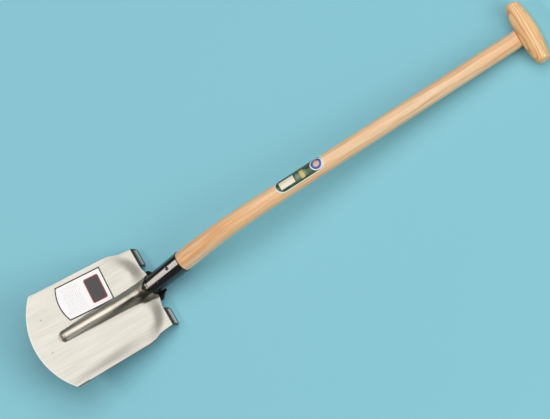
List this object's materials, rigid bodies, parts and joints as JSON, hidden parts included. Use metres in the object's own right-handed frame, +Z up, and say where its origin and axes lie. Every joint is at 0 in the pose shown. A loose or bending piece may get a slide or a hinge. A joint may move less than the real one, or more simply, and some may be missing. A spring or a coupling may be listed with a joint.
{
  "type": "spade with T-handle",
  "caption": "Flat spade with a dished steel blade, hollow ridge and folded treads, black socket, bent ash shaft and T-shaped grip.",
  "frame": {"origin": "on the floor, under the middle of the spade's length and width, with the spade lying on its back", "axes": "+X along the spade from the cutting edge to the grip, +Y to the left of the blade seen from its front with the grip up, +Z up, out of the blade's front"},
  "size_m": [1.0968, 0.2, 0.0801],
  "materials": {
    "satin_steel": "finely brushed steel under clear lacquer",
    "black_lacquer": "glossy black lacquer on steel",
    "ash_shaft": "smooth turned ash, lightly lacquered",
    "ash_grip": "smooth ash with bold grain",
    "nail_steel": "black nail head",
    "side_nail_steel": "black nail head",
    "white_label": "white film with a thin dark border",
    "green_label": "dark green film with a pale border"
  },
  "bodies": {
    "root": {"blade": "satin_steel", "socket": "black_lacquer", "shaft": "ash_shaft", "t_grip": "ash_grip", "front_nail": "nail_steel", "side_nail": "side_nail_steel", "blade_label": "white_label", "shaft_label": "green_label"}
  },
  "joints": []
}
